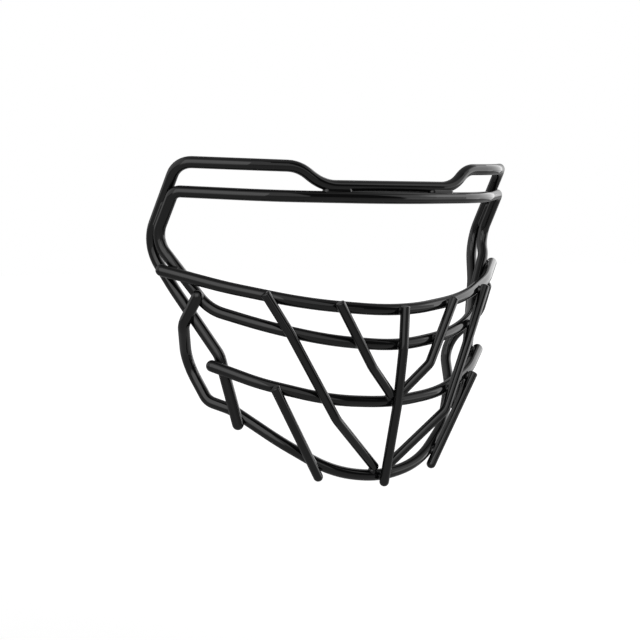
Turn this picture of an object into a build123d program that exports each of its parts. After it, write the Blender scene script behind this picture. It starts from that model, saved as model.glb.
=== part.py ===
"""Face mask of a sports helmet, bent and welded from coated round wire.

The front of the mask faces -Y and +Z is up. The mask is the same on both sides of the
plane X = 0. +X is the wearer's left side. The origin is the middle of the top bar's dip.
"""

import os
from build123d import *

os.makedirs("parts", exist_ok=True)

# Driving sizes, in millimetres
half_width = 116.0
depth = 80.0
height = 172.0
frame_wire = 6.4
strut_wire = 5.4
bend_radius = 12.0

# Welds: how far one wire is pressed into the next, and the bead laid round the spot
weld_sink = 0.2
bead_width = 5.2
seam_length = 13.0

# How far the wires run past the welds that hold them
eye_bar_tail = 5.8
lip_bar_tail = 2.8
chin_rod_tail = 2.6
side_brace_reach = 4.5
centre_strut_head = 3.2
centre_strut_tail = 2.4
diagonal_head = 3.4
short_diagonal_head = 3.4
lower_strut_head = 3.2
lower_strut_tail = 7.6
diagonal_knee_drop = 13.0
short_diagonal_knee_drop = 15.0
cut_end_rounding = 0.8

frame_radius = frame_wire / 2
strut_radius = strut_wire / 2
seam_width = bead_width - weld_sink

# A row is one bend of the wearer's left half of a rod: across, back and up as shares of
# the mask's half width, depth and height, then its radius as a share of bend_radius.
frame_rod_shares = (
    (0.387, 0.000, 0.000, 1.95),
    (0.503, 0.042, 0.060, 1.65),
    (0.752, 0.131, 0.064, 4.0),
    (0.978, 0.451, 0.073, 1.0),
    (0.996, 0.817, -0.182, 1.8),
    (0.913, 0.656, -0.323, 5.6),
    (0.760, 0.444, -0.529, 0.9),
)
frame_tip_shares = (0.666, 0.428, -0.751)
brow_middle_shares = (0.000, -0.098, -0.038)
brow_corner_up_share = -0.017
ring_leg_shares = (
    (0.996, 0.702, -0.167, 1.1),
    (0.954, 0.600, -0.230, 1.5),
)
ring_lower_shares = (
    (0.804, 0.471, -0.384, 1.85),
    (0.606, 0.156, -0.440, 7.2),
    (0.347, -0.029, -0.483, 8.2),
)
nose_bar_middle_shares = (0.000, -0.111, -0.507, 7.7)
eye_bar_shares = (
    (0.000, -0.142, -0.397, 8.4),
    (0.466, 0.008, -0.366, 9.6),
    (0.788, 0.296, -0.313, 7.0),
)
lip_bar_shares = (
    (0.000, -0.038, -0.690, 10.0),
    (0.337, 0.014, -0.672, 7.4),
    (0.634, 0.226, -0.615, 6.4),
)
chin_rod_shares = (
    (0.000, 0.105, -0.940, 6.0),
    (0.265, 0.141, -0.911, 5.2),
    (0.499, 0.288, -0.807, 4.2),
)
chin_rod_rear_shares = (
    (0.743, 0.637, -0.682, 0.75),
    (0.795, 0.792, -0.559, 1.5),
)

# Bends placed from welds, as shares of bend_radius
brow_middle_bend_share = 13.5
brow_side_bend_share = 6.2
brow_corner_bend_share = 0.45
chin_rod_side_bend_share = 1.7
chin_rod_hook_bend_share = 1.1
diagonal_bow_bend_share = 6.0
diagonal_knee_bend_share = 0.85
short_diagonal_knee_bend_share = 0.65
centre_strut_bend_share = 5.0
cross_bar_window_share = 0.26

# Where wires cross, as shares of the run or of the half width
dip_weld_share = 0.8
brow_side_share = 0.630
leg_weld_share = 0.60
brow_weld_forward_share = 0.25
ring_eye_weld_share = 0.17
frame_lip_weld_share = 0.13
frame_chin_weld_share = 0.865
frame_brace_weld_share = 0.39
ring_brace_weld_share = 0.742
chin_rod_side_share = 0.10
diagonal_weld_shares = {"eye": 0.622, "nose": 0.523, "lip": 0.366, "chin": 0.046}
short_diagonal_weld_shares = {"eye": 0.318, "nose": 0.226, "lip": 0.028}
lower_strut_weld_shares = {"lip": 0.565, "chin": 0.352}
diagonal_resting_share = 0.42
short_diagonal_resting_share = 0.90

forward = Vector(0, -1, 0)
outward = Vector(1, 0, 0)
upward = Vector(0, 0, 1)
midplane = Plane.YZ


def place(across, back, up):
    """Point of the mask from its three shares."""
    return Vector(across * half_width, back * depth, up * height)


def bends_of(rows):
    """Corner points and bend radii of a table of bends."""
    corners = [place(*row[:-1]) for row in rows]
    radii = [row[-1] * bend_radius for row in rows]
    return corners, radii


def opposite(point):
    """The same point on the other side of the mask."""
    return Vector(-point.X, point.Y, point.Z)


def along(start, end, share):
    return start + (end - start) * share


def run_out(first, last, length):
    """Point past the last of two, on their line."""
    return last + (last - first).normalized() * length


def both_sides(corners, radii, middle=None, middle_radius=None):
    """Wire path from the right tip to the left tip, with a bend in the middle if one is given."""
    left = list(corners)
    right = [opposite(point) for point in reversed(left)]
    if middle is None:
        return FilletPolyline(*right, *left, radius=[*reversed(radii), *radii])
    return FilletPolyline(*right, middle, *left, radius=[*reversed(radii), middle_radius, *radii])


def spot(path, across, lowest, highest):
    """Centre and direction of a rod at a distance from the mid-plane, between two heights."""
    for edge in path.edges():
        low, high = sorted((0, 1), key=lambda end: (edge @ end).X)
        first, last = edge @ low, edge @ high
        if not (first.X <= across <= last.X and lowest <= first.Z <= highest):
            continue
        for _ in range(60):
            middle = (low + high) / 2
            if (edge @ middle).X < across:
                low = middle
            else:
                high = middle
        direction = edge % low
        return edge @ low, direction if direction.X > 0 else -direction
    raise ValueError(f"no rod {across} from the mid-plane")


def side_of(direction, other_direction, side):
    """Common square direction of two crossing rods, towards the given side."""
    away = direction.cross(other_direction).normalized()
    return away if away.dot(side) > 0 else -away


def square_to(direction, towards):
    """Direction square to a rod, leaning towards the given one."""
    return (towards - direction * towards.dot(direction)).normalized()


def rod(path, radius, ends):
    """Round rod along a path: each end is a coated round end, a sawn end or none on a ring."""
    start = path @ 0
    bar = sweep(Plane(origin=start, z_dir=path % 0) * Circle(radius), path=path)
    for share, finish in zip((0, 1), ends):
        tip = path @ share
        if finish == "round":
            bar = bar + Pos(*tip) * Sphere(radius)
        if finish == "sawn":
            rims = bar.edges().filter_by(GeomType.CIRCLE)
            rim = min(rims, key=lambda edge: (edge.arc_center - tip).length)
            bar = fillet(rim, cut_end_rounding)
    return bar


def weld_spot(centre, away):
    """Where a wire that lies on the given side of a frame wire touches it."""
    return Plane(origin=centre + away * (frame_radius - weld_sink), z_dir=away)


def bead(weld, rods):
    """Weld metal round a crossing, cut to the wires that it joins."""
    return weld * Sphere(bead_width / 2) - rods


def seam(point, direction, rods):
    """Weld metal along two wires that run side by side."""
    half = direction * (seam_length / 2)
    line = Line(point - half, point + half)
    return rod(line, seam_width / 2, ("round", "round")) - rods


def save(name, shape):
    shape.label = name
    export_step(shape, f"parts/{name}.step")


def save_pair(name, shape):
    save(f"{name}_left", shape)
    save(f"{name}_right", mirror(shape, about=midplane))


cross_bar_window = cross_bar_window_share * height
wire_lift = frame_wire - weld_sink
strut_lift = frame_radius + strut_radius - weld_sink

# Frame rod: the top bar with its dip, both side legs and their lower tips in one wire
frame_corners, frame_radii = bends_of(frame_rod_shares)
dip_end = frame_corners[0]
top_corner, frame_rear, frame_gentle, frame_low = frame_corners[-4:]
frame_tip = place(*frame_tip_shares)
frame_path = both_sides([*frame_corners, frame_tip], frame_radii)
frame_rod = rod(frame_path, frame_radius, ("round", "round"))

# Ring: the brow bar under the dip, its side legs and the nose bar in one closed wire
dip_weld = along(Vector(0, 0, 0), dip_end, dip_weld_share)
brow_side_lift = square_to(outward, forward * brow_weld_forward_share - upward)
brow_weld = dip_weld + brow_side_lift * wire_lift
brow_middle = place(*brow_middle_shares)
brow_side = along(brow_middle, brow_weld, brow_side_share * half_width / brow_weld.X)
leg_weld = along(top_corner, frame_rear, leg_weld_share)
leg_lift = square_to((frame_rear - top_corner).normalized(), forward)
ring_leg = leg_weld + leg_lift * wire_lift
ring_leg_corners, ring_leg_radii = bends_of(ring_leg_shares)
ring_rear, ring_bow = ring_leg_corners
ring_leg_slope = (ring_leg - ring_rear).normalized()
brow_rise = brow_corner_up_share * height - ring_rear.Z
brow_corner = ring_rear + ring_leg_slope * (brow_rise / ring_leg_slope.Z)
ring_lower, ring_lower_radii = bends_of(ring_lower_shares)
ring_side = [brow_side, brow_corner, *ring_leg_corners, *ring_lower]
brow_radii = [brow_side_bend_share * bend_radius, brow_corner_bend_share * bend_radius]
ring_side_radii = [*brow_radii, *ring_leg_radii, *ring_lower_radii]
ring_path = FilletPolyline(
    brow_middle,
    *ring_side,
    place(*nose_bar_middle_shares[:-1]),
    *[opposite(point) for point in reversed(ring_side)],
    radius=[
        brow_middle_bend_share * bend_radius,
        *ring_side_radii,
        nose_bar_middle_shares[-1] * bend_radius,
        *reversed(ring_side_radii),
    ],
    close=True,
)
ring_tube = rod(ring_path, frame_radius, (None, None))
ring = ring_tube - frame_rod

# Eye bar: its ends lie outside the ring's legs and stop beside the frame's legs
eye_corners, eye_radii = bends_of(eye_bar_shares)
ring_leg_low = ring_lower[0]
ring_eye_weld = along(ring_bow, ring_leg_low, ring_eye_weld_share)
ring_eye_side = side_of(ring_leg_low - ring_bow, ring_eye_weld - eye_corners[-1], outward)
eye_seat = ring_eye_weld + ring_eye_side * wire_lift
eye_tip = run_out(eye_corners[-1], eye_seat, eye_bar_tail)
eye_path = both_sides([*eye_corners[1:], eye_tip], eye_radii[1:], eye_corners[0], eye_radii[0])
eye_tube = rod(eye_path, frame_radius, ("round", "round"))
eye_bar = eye_tube - ring_tube

# Lip bar: its ends lie outside the frame's lower legs
lip_corners, lip_radii = bends_of(lip_bar_shares)
frame_lip_weld = along(frame_low, frame_tip, frame_lip_weld_share)
lip_side = side_of(frame_tip - frame_low, frame_lip_weld - lip_corners[-1], outward)
lip_seat = frame_lip_weld + lip_side * wire_lift
lip_tip = run_out(lip_corners[-1], lip_seat, lip_bar_tail)
lip_path = both_sides([*lip_corners[1:], lip_tip], lip_radii[1:], lip_corners[0], lip_radii[0])
lip_tube = rod(lip_path, frame_radius, ("round", "round"))
lip_bar = lip_tube - frame_rod

# Chin rod: past the inside of the frame's tips, back, up and over both side legs
chin_corners, chin_radii = bends_of(chin_rod_shares)
frame_chin_weld = along(frame_low, frame_tip, frame_chin_weld_share)
chin_side = side_of(frame_tip - frame_low, frame_chin_weld - chin_corners[-1], -outward)
chin_seat = frame_chin_weld + chin_side * wire_lift
chin_jog = chin_seat + (chin_seat - chin_corners[-1]) * chin_rod_side_share
chin_rear, chin_rear_radii = bends_of(chin_rod_rear_shares)
frame_brace_weld = along(frame_gentle, frame_low, frame_brace_weld_share)
ring_brace_weld = along(ring_bow, ring_leg_low, ring_brace_weld_share)
brace_run = ring_brace_weld - frame_brace_weld
frame_brace_side = side_of(frame_low - frame_gentle, brace_run, outward)
ring_brace_side = side_of(ring_leg_low - ring_bow, brace_run, outward)
brace_low_seat = frame_brace_weld + frame_brace_side * wire_lift
brace_seat = ring_brace_weld + ring_brace_side * wire_lift
chin_hook = run_out(brace_seat, brace_low_seat, side_brace_reach)
chin_tip = run_out(brace_low_seat, brace_seat, chin_rod_tail)
chin_path = both_sides(
    [*chin_corners[1:], chin_jog, *chin_rear, chin_hook, chin_tip],
    [
        *chin_radii[1:],
        chin_rod_side_bend_share * bend_radius,
        *chin_rear_radii,
        chin_rod_hook_bend_share * bend_radius,
    ],
    chin_corners[0],
    chin_radii[0],
)
chin_tube = rod(chin_path, frame_radius, ("round", "round"))
chin_rod = chin_tube - frame_rod - ring_tube

cross_bars = {
    "eye": (eye_path, eye_tube, eye_corners[-1].Z),
    "nose": (ring_path, ring_tube, eye_corners[0].Z),
    "lip": (lip_path, lip_tube, frame_low.Z),
    "chin": (chin_path, chin_tube, lip_corners[0].Z),
}


def crossings(weld_shares):
    """Centre and direction of each cross bar where an upright wire crosses it."""
    found = []
    for name, share in weld_shares.items():
        path, _, top = cross_bars[name]
        bottom = top - cross_bar_window
        found.append(spot(path, share * half_width, bottom, top))
    return found


def seats_on(bars, run):
    """Centres of an upright wire where it lies across the outside of the bars, and its welds."""
    seats, welds = [], []
    for centre, direction in bars:
        away = side_of(direction, run, forward)
        seats.append(centre + away * strut_lift)
        welds.append(weld_spot(centre, away))
    return seats, welds


def rest_on(bar, forward_share):
    """Centre of a wire's round end that rests on the top front of a bar, and its weld."""
    centre, direction = bar
    away = square_to(direction, upward + forward * forward_share)
    return centre + away * strut_lift, weld_spot(centre, away)


# Centre strut: in front of every cross bar, on the mid-plane
centre_bars = crossings({name: 0 for name in cross_bars})
centre_run = centre_bars[-1][0] - centre_bars[0][0]
centre_seats, centre_welds = seats_on(centre_bars, centre_run)
centre_path = FilletPolyline(
    run_out(centre_seats[1], centre_seats[0], centre_strut_head),
    *centre_seats[1:-1],
    run_out(centre_seats[-2], centre_seats[-1], centre_strut_tail),
    radius=centre_strut_bend_share * bend_radius,
)
all_tubes = [tube for _, tube, _ in cross_bars.values()]
centre_tube = rod(centre_path, strut_radius, ("sawn", "round"))
centre_strut = centre_tube - all_tubes

# Long diagonal: from the eye bar down over the lip bar, then in to the chin rod
*diagonal_bars, diagonal_rest = crossings(diagonal_weld_shares)
diagonal_run = diagonal_bars[-1][0] - diagonal_bars[0][0]
diagonal_seats, diagonal_welds = seats_on(diagonal_bars, diagonal_run)
diagonal_end, diagonal_end_weld = rest_on(diagonal_rest, diagonal_resting_share)
diagonal_path = FilletPolyline(
    run_out(diagonal_seats[1], diagonal_seats[0], diagonal_head),
    diagonal_seats[1],
    run_out(diagonal_seats[1], diagonal_seats[2], diagonal_knee_drop),
    diagonal_end,
    radius=[diagonal_bow_bend_share * bend_radius, diagonal_knee_bend_share * bend_radius],
)
diagonal_tube = rod(diagonal_path, strut_radius, ("sawn", "round"))
diagonal = diagonal_tube - all_tubes - centre_tube

# Short diagonal: from the eye bar over the nose bar, then in to the lip bar
*short_bars, short_rest = crossings(short_diagonal_weld_shares)
short_seats, short_welds = seats_on(short_bars, short_bars[-1][0] - short_bars[0][0])
short_end, short_end_weld = rest_on(short_rest, short_diagonal_resting_share)
short_path = FilletPolyline(
    run_out(short_seats[1], short_seats[0], short_diagonal_head),
    run_out(short_seats[0], short_seats[1], short_diagonal_knee_drop),
    short_end,
    radius=short_diagonal_knee_bend_share * bend_radius,
)
short_tube = rod(short_path, strut_radius, ("sawn", "round"))
short_diagonal = short_tube - all_tubes - centre_tube

# Lower strut: straight, over the lip bar and past the chin rod
lower_bars = crossings(lower_strut_weld_shares)
lower_seats, lower_welds = seats_on(lower_bars, lower_bars[-1][0] - lower_bars[0][0])
lower_path = Line(
    run_out(lower_seats[1], lower_seats[0], lower_strut_head),
    run_out(lower_seats[0], lower_seats[1], lower_strut_tail),
)
lower_tube = rod(lower_path, strut_radius, ("sawn", "round"))
lower_strut = lower_tube - all_tubes

# Welds of the side legs, where the rods of frame wire cross one another
side_welds = [
    bead(weld_spot(ring_eye_weld, ring_eye_side), [ring_tube, eye_tube]),
    bead(weld_spot(frame_lip_weld, lip_side), [frame_rod, lip_tube]),
    bead(weld_spot(frame_chin_weld, chin_side), [frame_rod, chin_tube]),
    bead(weld_spot(frame_brace_weld, frame_brace_side), [frame_rod, chin_tube]),
    bead(weld_spot(ring_brace_weld, ring_brace_side), [ring_tube, chin_tube]),
]
dip_seam_slope = ((brow_side - brow_middle).normalized() + outward).normalized()
leg_slope = (top_corner - frame_rear).normalized()
leg_seam_slope = (ring_leg_slope + leg_slope).normalized()
top_welds = [
    seam(weld_spot(dip_weld, brow_side_lift).origin, dip_seam_slope, [frame_rod, ring_tube]),
    seam(weld_spot(leg_weld, leg_lift).origin, leg_seam_slope, [frame_rod, ring_tube]),
]


def beads_on(welds, names, strut):
    """Beads where an upright wire crosses the named bars."""
    return [bead(weld, [cross_bars[name][1], strut]) for weld, name in zip(welds, names)]


centre_beads = beads_on(centre_welds, cross_bars, centre_tube)
diagonal_beads = beads_on(diagonal_welds, diagonal_weld_shares, diagonal_tube)
diagonal_beads.append(bead(diagonal_end_weld, [chin_tube, diagonal_tube, centre_tube, *centre_beads]))
short_beads = beads_on(short_welds, short_diagonal_weld_shares, short_tube)
short_beads.append(bead(short_end_weld, [lip_tube, short_tube, centre_tube, *centre_beads]))
lower_beads = beads_on(lower_welds, lower_strut_weld_shares, lower_tube)

save("frame_rod", frame_rod)
save("brow_and_nose_ring", ring)
save("eye_bar", eye_bar)
save("lip_bar", lip_bar)
save("chin_rod", chin_rod)
save("centre_strut", centre_strut)
save_pair("long_diagonal", diagonal)
save_pair("short_diagonal", short_diagonal)
save_pair("lower_strut", lower_strut)
save("centre_welds", Compound(centre_beads))
save_pair("top_welds", Compound(top_welds))
save_pair("side_welds", Compound(side_welds))
save_pair("long_diagonal_welds", Compound(diagonal_beads))
save_pair("short_diagonal_welds", Compound(short_beads))
save_pair("lower_strut_welds", Compound(lower_beads))
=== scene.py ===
"""Coated wire face mask of a sports helmet, dressed and lit for a studio picture."""

from math import atan, cos, pi, radians, sin

import bpy
import numpy as np
from mathutils import Matrix, Vector


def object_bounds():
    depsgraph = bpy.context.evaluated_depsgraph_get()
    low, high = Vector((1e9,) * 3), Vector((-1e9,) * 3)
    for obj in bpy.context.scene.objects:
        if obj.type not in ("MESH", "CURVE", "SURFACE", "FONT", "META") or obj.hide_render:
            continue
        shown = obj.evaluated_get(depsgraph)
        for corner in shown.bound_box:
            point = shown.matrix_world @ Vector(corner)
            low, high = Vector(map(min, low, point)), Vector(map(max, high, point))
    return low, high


bl_info = {
    "name": "Coated wire face mask",
    "version": (1, 0, 0),
    "blender": (4, 5, 0),
    "location": "View3D > Sidebar > Face Mask",
    "description": "Gives a welded wire face mask its glossy coating and a studio",
    "category": "Object",
}

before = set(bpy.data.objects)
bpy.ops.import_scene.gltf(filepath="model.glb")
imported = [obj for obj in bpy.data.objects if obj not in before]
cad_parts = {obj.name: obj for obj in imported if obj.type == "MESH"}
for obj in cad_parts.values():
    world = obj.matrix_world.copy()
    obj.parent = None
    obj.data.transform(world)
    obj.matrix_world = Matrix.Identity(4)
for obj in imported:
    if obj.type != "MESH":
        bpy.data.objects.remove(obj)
cad_low, cad_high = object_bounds()


def on_both_sides(*names):
    """Names of pieces that the mask has once on each side."""
    return tuple(f"{name}_{side}" for name in names for side in ("left", "right"))


FRAME_RODS = ("frame_rod", "brow_and_nose_ring", "eye_bar", "lip_bar", "chin_rod")
STRUTS = ("centre_strut", *on_both_sides("long_diagonal", "short_diagonal", "lower_strut"))
WELDS = (
    "centre_welds",
    *on_both_sides("top_welds", "side_welds"),
    *on_both_sides("long_diagonal_welds", "short_diagonal_welds", "lower_strut_welds"),
)

# The camera of the photograph, in the frame of the mask, in metres and degrees
PICTURE_WIDTH_PX = 640
FOCAL_LENGTH_PX = 1599.7
CAMERA_PLACE = Vector((-0.5428, -0.6958, -0.0156))
CAMERA_AZIMUTH = -35.48
CAMERA_ELEVATION = 3.75
CAMERA_CLIP_START = 0.01

# Skin of the coating. Scales are in waves per metre, and the grain's height is a share of the ripples'.
COATING_IOR = 1.5
RIPPLE_DETAIL = 1.5
GRAIN_SCALE = 900
GRAIN_DETAIL = 3
GRAIN_STRENGTH = 0.5
GRAIN_HEIGHT_SHARE = 0.1

# Noise of the patches of unlike gloss: the coating is smoothest at its low level and dullest at its high one
PATCH_SCALE = 35
PATCH_DETAIL = 4
PATCH_LOW = 0.35
PATCH_HIGH = 0.65

WHITE = (1, 1, 1, 1)

# The floor's paper, its glow to the camera at a near and a far distance from the frame's origin, in
# metres, and how much of that glow the coating mirrors
FLOOR_PAPER = (0.42, 0.42, 0.42, 1)
NEAR_FLOOR = 0.5
FAR_FLOOR = 4.0
NEAR_FLOOR_GLOW = 0.64
FAR_FLOOR_GLOW = 0.92
FLOOR_GLOSS_SHARE = 0.1

# Places round the mask have a turn, clockwise from the camera's line of sight as seen from above, and
# a rise over the level, in degrees. A softbox has its turn, rise, width and height, sizes in metres.
SOFTBOX_DISTANCE = 2.0
SOFTBOXES = {
    "left_softbox": (195, 16, 2.1, 2.3),
    "right_softbox": (54, 13, 2.2, 1.8),
    "low_softbox": (82, -7, 1.5, 0.5),
}

# Screens of the room, each with a band of turn and a band of rise. A band has its low end, the width of
# the soft edge below it, its high end and the width of the soft edge above it.
WALL = ((134, 4, 292, 24), (-10, 12, 46, 24))
CURTAIN = ((104, 3, 128, 6), (-10, 6, 44, 20))
BACKDROP = ((20, 12, 100, 5), (2, 14, 34, 16))


class CoatingSettings(bpy.types.PropertyGroup):
    """Finish of the coated wire."""

    colour: bpy.props.FloatVectorProperty(
        name="Colour",
        description="Colour of the coating over the wire",
        subtype="COLOR",
        size=4,
        min=0,
        max=1,
        default=(0.0022, 0.0022, 0.0024, 1),
    )
    smoothest: bpy.props.FloatProperty(
        name="Smoothest",
        description="Roughness of the shiniest patches of the coating",
        subtype="FACTOR",
        min=0,
        max=1,
        default=0.03,
    )
    dullest: bpy.props.FloatProperty(
        name="Dullest",
        description="Roughness of the dullest patches of the coating",
        subtype="FACTOR",
        min=0,
        max=1,
        default=0.07,
    )
    ripple_size: bpy.props.FloatProperty(
        name="Ripple size",
        description="Spacing of the soft ripples that the dried coating has",
        subtype="DISTANCE",
        unit="LENGTH",
        min=0.0005,
        default=0.005,
    )
    ripple_height: bpy.props.FloatProperty(
        name="Ripple height",
        description="Height of the soft ripples",
        subtype="DISTANCE",
        unit="LENGTH",
        min=0,
        default=0.00001,
    )


class StudioSettings(bpy.types.PropertyGroup):
    """Floor and light of the studio."""

    floor_drop: bpy.props.FloatProperty(
        name="Floor drop",
        description="Height of the mask over the floor",
        subtype="DISTANCE",
        unit="LENGTH",
        min=0,
        default=0.5,
    )
    floor_span: bpy.props.FloatProperty(
        name="Floor span",
        description="Width of the floor",
        subtype="DISTANCE",
        unit="LENGTH",
        min=1,
        default=30.0,
    )
    left_softbox_power: bpy.props.FloatProperty(
        name="Left softbox power",
        description="Power of the softbox behind the camera's left side",
        subtype="POWER",
        unit="POWER",
        min=0,
        default=15.0,
    )
    right_softbox_power: bpy.props.FloatProperty(
        name="Right softbox power",
        description="Power of the softbox at the right, past the mask",
        subtype="POWER",
        unit="POWER",
        min=0,
        default=16.0,
    )
    low_softbox_power: bpy.props.FloatProperty(
        name="Low softbox power",
        description="Power of the strip light low at the right",
        subtype="POWER",
        unit="POWER",
        min=0,
        default=2.2,
    )
    room_grey: bpy.props.FloatProperty(
        name="Room grey",
        description="Brightness of the room round the mask",
        subtype="FACTOR",
        min=0,
        max=1,
        default=0.3,
    )
    wall_white: bpy.props.FloatProperty(
        name="Wall white",
        description="Brightness of the wall behind the camera",
        subtype="FACTOR",
        min=0,
        max=2,
        default=0.85,
    )
    curtain_grey: bpy.props.FloatProperty(
        name="Curtain grey",
        description="Brightness of the dark curtain at the camera's right",
        subtype="FACTOR",
        min=0,
        max=1,
        default=0.06,
    )


def add_object(name, data):
    """New object in the scene."""
    thing = bpy.data.objects.new(name, data)
    bpy.context.scene.collection.objects.link(thing)
    return thing


def node_of(tree, kind, **values):
    """New shader node with its sockets set by their names, spaces written as underscores."""
    node = tree.nodes.new(kind)
    for name, value in values.items():
        node.inputs[name.replace("_", " ")].default_value = value
    return node


def math_node(tree, operation, second=None, kind="ShaderNodeMath"):
    """New maths node, with its second input set where one is given."""
    node = tree.nodes.new(kind)
    node.operation = operation
    if second is not None:
        node.inputs[1].default_value = second
    return node


def link_nodes(tree, *links):
    """Joins the sockets of each (node, output, node, input)."""
    for source, output, target, socket in links:
        tree.links.new(source.outputs[output], target.inputs[socket])


def coating_material(name, settings):
    """Glossy black coating: fine grain on soft ripples, and patches of unlike gloss."""
    material = bpy.data.materials.new(name)
    material.use_nodes = True
    tree = material.node_tree
    shader = tree.nodes["Principled BSDF"]
    shader.inputs["Base Color"].default_value = settings.colour
    shader.inputs["IOR"].default_value = COATING_IOR
    place = tree.nodes.new("ShaderNodeTexCoord")
    ripple = node_of(tree, "ShaderNodeTexNoise", Scale=1 / settings.ripple_size, Detail=RIPPLE_DETAIL)
    grain = node_of(tree, "ShaderNodeTexNoise", Scale=GRAIN_SCALE, Detail=GRAIN_DETAIL)
    patches = node_of(tree, "ShaderNodeTexNoise", Scale=PATCH_SCALE, Detail=PATCH_DETAIL)
    roughness = node_of(
        tree,
        "ShaderNodeMapRange",
        From_Min=PATCH_LOW,
        From_Max=PATCH_HIGH,
        To_Min=settings.smoothest,
        To_Max=settings.dullest,
    )
    ripple_bump = node_of(tree, "ShaderNodeBump", Strength=1, Distance=settings.ripple_height)
    grain_height = settings.ripple_height * GRAIN_HEIGHT_SHARE
    grain_bump = node_of(tree, "ShaderNodeBump", Strength=GRAIN_STRENGTH, Distance=grain_height)
    link_nodes(
        tree,
        (place, "Object", ripple, "Vector"),
        (place, "Object", grain, "Vector"),
        (place, "Object", patches, "Vector"),
        (patches, "Fac", roughness, "Value"),
        (roughness, "Result", shader, "Roughness"),
        (ripple, "Fac", ripple_bump, "Height"),
        (grain, "Fac", grain_bump, "Height"),
        (ripple_bump, "Normal", grain_bump, "Normal"),
        (grain_bump, "Normal", shader, "Normal"),
    )
    return material


def coat(names, material):
    """Puts a material in every slot of the named CAD nodes."""
    for name in names:
        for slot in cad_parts[name].material_slots:
            slot.material = material


def white_rays(tree, gloss_share=1):
    """Node whose Value is 1 for rays from the camera and through glass and a share for mirrored ones,
    and the node that holds the share."""
    rays = tree.nodes.new("ShaderNodeLightPath")
    glossy = math_node(tree, "MULTIPLY", gloss_share)
    either = math_node(tree, "MAXIMUM")
    seen = math_node(tree, "MAXIMUM")
    link_nodes(
        tree,
        (rays, "Is Camera Ray", either, 0),
        (rays, "Is Transmission Ray", either, 1),
        (rays, "Is Glossy Ray", glossy, 0),
        (either, "Value", seen, 0),
        (glossy, "Value", seen, 1),
    )
    return seen, glossy


def floor_material():
    """Pale paper that takes light and shadow, with a glow for the camera that grows with the distance."""
    material = bpy.data.materials.new("floor_paper")
    material.use_nodes = True
    tree = material.node_tree
    tree.nodes.clear()
    paper = node_of(tree, "ShaderNodeBsdfDiffuse", Color=FLOOR_PAPER)
    glow = node_of(tree, "ShaderNodeEmission", Color=WHITE)
    both = tree.nodes.new("ShaderNodeAddShader")
    output = tree.nodes.new("ShaderNodeOutputMaterial")
    place = tree.nodes.new("ShaderNodeTexCoord")
    distance = math_node(tree, "LENGTH", kind="ShaderNodeVectorMath")
    fall = node_of(
        tree,
        "ShaderNodeMapRange",
        From_Min=NEAR_FLOOR,
        From_Max=FAR_FLOOR,
        To_Min=NEAR_FLOOR_GLOW,
        To_Max=FAR_FLOOR_GLOW,
    )
    seen, _ = white_rays(tree, FLOOR_GLOSS_SHARE)
    level = math_node(tree, "MULTIPLY")
    link_nodes(
        tree,
        (place, "Object", distance, 0),
        (distance, "Value", fall, "Value"),
        (seen, "Value", level, 0),
        (fall, "Result", level, 1),
        (level, "Value", glow, "Strength"),
        (paper, "BSDF", both, 0),
        (glow, "Emission", both, 1),
        (both, "Shader", output, "Surface"),
    )
    return material


def make_floor(settings):
    """Flat square floor: a grid of two by two points at one height."""
    span = settings.floor_span / 2
    height = cad_low[2] - settings.floor_drop
    across, along = np.meshgrid([-span, span], [-span, span])
    points = np.column_stack([across.ravel(), along.ravel(), np.full(across.size, height)])
    mesh = bpy.data.meshes.new("floor")
    mesh.from_pydata(points.tolist(), [], [(0, 1, 3, 2)])
    mesh.materials.append(floor_material())
    add_object("floor", mesh)


def room_direction(turn, rise):
    """Direction with a turn and a rise: the sine and cosine of its heading, shortened by its rise."""
    heading = radians(turn - CAMERA_AZIMUTH)
    level = cos(radians(rise))
    return Vector((sin(heading) * level, cos(heading) * level, sin(radians(rise))))


def make_softbox(name, turn, rise, width, height, power):
    """Rectangular area lamp that faces the mask."""
    data = bpy.data.lights.new(name, "AREA")
    data.shape = "RECTANGLE"
    data.size = width
    data.size_y = height
    data.energy = power
    direction = room_direction(turn, rise)
    middle = (Vector(cad_low) + Vector(cad_high)) / 2
    aim = (-direction).to_track_quat("-Z", "Y")
    lamp = add_object(name, data)
    lamp.matrix_world = Matrix.LocRotScale(middle + direction * SOFTBOX_DISTANCE, aim, None)
    lamp.visible_camera = False


def band(tree, angle, low, low_edge, high, high_edge):
    """Node whose Value is 1 between two angles in degrees and falls to 0 over an edge outside each."""
    product = math_node(tree, "MULTIPLY")
    for end, (outside, inside) in enumerate(((low - low_edge, low), (high + high_edge, high))):
        side = node_of(tree, "ShaderNodeMapRange", From_Min=radians(outside), From_Max=radians(inside))
        side.interpolation_type = "SMOOTHSTEP"
        link_nodes(tree, (angle, "Value", side, "Value"), (side, "Result", product, end))
    return product


def screen(tree, turn, rise, turn_band, rise_band):
    """Node whose Value is 1 in a soft-edged rectangle of directions: the product of its two bands."""
    product = math_node(tree, "MULTIPLY")
    across = band(tree, turn, *turn_band)
    upright = band(tree, rise, *rise_band)
    link_nodes(tree, (across, "Value", product, 0), (upright, "Value", product, 1))
    return product


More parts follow.
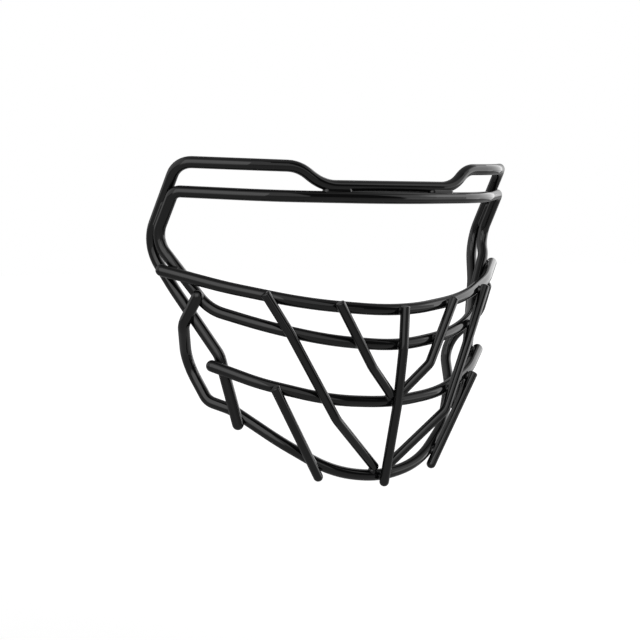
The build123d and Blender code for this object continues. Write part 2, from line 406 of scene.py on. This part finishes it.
def room_angles(tree):
    """Two nodes whose Value is the turn and the rise of a direction in the world, in radians.

    The arc tangent is taken from behind the camera and half a turn is added, so that its seam lies
    straight ahead, where no screen crosses it.
    """
    place = tree.nodes.new("ShaderNodeTexCoord")
    parts = []
    for direction in (room_direction(270, 0), room_direction(180, 0), Vector((0, 0, 1))):
        part = math_node(tree, "DOT_PRODUCT", direction, "ShaderNodeVectorMath")
        link_nodes(tree, (place, "Generated", part, 0))
        parts.append(part)
    left, behind, up = parts
    from_behind = math_node(tree, "ARCTAN2")
    turn = math_node(tree, "ADD", pi)
    rise = math_node(tree, "ARCSINE")
    link_nodes(
        tree,
        (left, "Value", from_behind, 0),
        (behind, "Value", from_behind, 1),
        (from_behind, "Value", turn, 0),
        (up, "Value", rise, 0),
    )
    return turn, rise


def make_world(settings):
    """Grey room with a white wall behind the camera and a dark curtain at its right.

    The camera sees it all as white, and the coating mirrors that white where the backdrop is.
    """
    world = bpy.data.worlds.new("studio_room")
    bpy.context.scene.world = world
    world.use_nodes = True
    tree = world.node_tree
    tree.nodes.clear()
    angles = room_angles(tree)
    wall_level = node_of(tree, "ShaderNodeMapRange", To_Min=settings.room_grey, To_Max=settings.wall_white)
    curtain_level = node_of(tree, "ShaderNodeMapRange", To_Max=settings.curtain_grey)
    room = node_of(tree, "ShaderNodeBackground", Color=WHITE)
    white = node_of(tree, "ShaderNodeBackground", Color=WHITE, Strength=1)
    seen, glossy = white_rays(tree)
    mix = tree.nodes.new("ShaderNodeMixShader")
    output = tree.nodes.new("ShaderNodeOutputWorld")
    link_nodes(
        tree,
        (screen(tree, *angles, *WALL), "Value", wall_level, "Value"),
        (screen(tree, *angles, *CURTAIN), "Value", curtain_level, "Value"),
        (screen(tree, *angles, *BACKDROP), "Value", glossy, 1),
        (wall_level, "Result", curtain_level, "To Min"),
        (curtain_level, "Result", room, "Strength"),
        (seen, "Value", mix, "Fac"),
        (room, "Background", mix, 1),
        (white, "Background", mix, 2),
        (mix, "Shader", output, "Surface"),
    )


def make_camera(scene):
    """Camera at the photograph's place and angle, without a tilt to the side."""
    data = bpy.data.cameras.new("photo_camera")
    data.sensor_fit = "HORIZONTAL"
    data.angle = 2 * atan(PICTURE_WIDTH_PX / (2 * FOCAL_LENGTH_PX))
    data.clip_start = CAMERA_CLIP_START
    aim = room_direction(0, -CAMERA_ELEVATION).to_track_quat("-Z", "Y")
    camera = add_object("photo_camera", data)
    camera.matrix_world = Matrix.LocRotScale(CAMERA_PLACE, aim, None)
    scene.camera = camera


class FACEMASK_OT_frame_rods(bpy.types.Operator):
    """Coats the bent frame rods and cross bars."""

    bl_idname = "facemask.frame_rods"
    bl_label = "Frame rods"

    def execute(self, context):
        coat(FRAME_RODS, coating_material("frame_coating", context.scene.facemask_coating))
        return {"FINISHED"}


class FACEMASK_OT_struts(bpy.types.Operator):
    """Coats the thinner upright struts and diagonals."""

    bl_idname = "facemask.struts"
    bl_label = "Struts"

    def execute(self, context):
        coat(STRUTS, coating_material("strut_coating", context.scene.facemask_coating))
        return {"FINISHED"}


class FACEMASK_OT_welds(bpy.types.Operator):
    """Coats the weld beads."""

    bl_idname = "facemask.welds"
    bl_label = "Welds"

    def execute(self, context):
        coat(WELDS, coating_material("weld_coating", context.scene.facemask_coating))
        return {"FINISHED"}


class FACEMASK_OT_stage(bpy.types.Operator):
    """Makes the floor, the softboxes, the room and the camera."""

    bl_idname = "facemask.stage"
    bl_label = "Studio"

    def execute(self, context):
        settings = context.scene.facemask_studio
        make_floor(settings)
        for name, place_and_size in SOFTBOXES.items():
            make_softbox(name, *place_and_size, power=getattr(settings, f"{name}_power"))
        make_world(settings)
        make_camera(context.scene)
        context.scene.view_settings.view_transform = "Standard"
        return {"FINISHED"}


OPERATORS = (
    FACEMASK_OT_frame_rods,
    FACEMASK_OT_struts,
    FACEMASK_OT_welds,
    FACEMASK_OT_stage,
)


class FACEMASK_PT_panel(bpy.types.Panel):
    """Lists the steps that dress the mask."""

    bl_idname = "FACEMASK_PT_panel"
    bl_label = "Face Mask"
    bl_space_type = "VIEW_3D"
    bl_region_type = "UI"
    bl_category = "Face Mask"

    def draw(self, context):
        column = self.layout.column()
        for operator in OPERATORS:
            column.operator(operator.bl_idname)


CLASSES = (CoatingSettings, StudioSettings, *OPERATORS, FACEMASK_PT_panel)


def register():
    for item in CLASSES:
        bpy.utils.register_class(item)
    bpy.types.Scene.facemask_coating = bpy.props.PointerProperty(type=CoatingSettings)
    bpy.types.Scene.facemask_studio = bpy.props.PointerProperty(type=StudioSettings)


def unregister():
    del bpy.types.Scene.facemask_studio
    del bpy.types.Scene.facemask_coating
    for item in reversed(CLASSES):
        bpy.utils.unregister_class(item)


def main():
    """Dresses the mask, running each step in turn."""
    register()
    for operator in OPERATORS:
        group, step = operator.bl_idname.split(".")
        getattr(getattr(bpy.ops, group), step)()


if __name__ == "__main__":
    main()
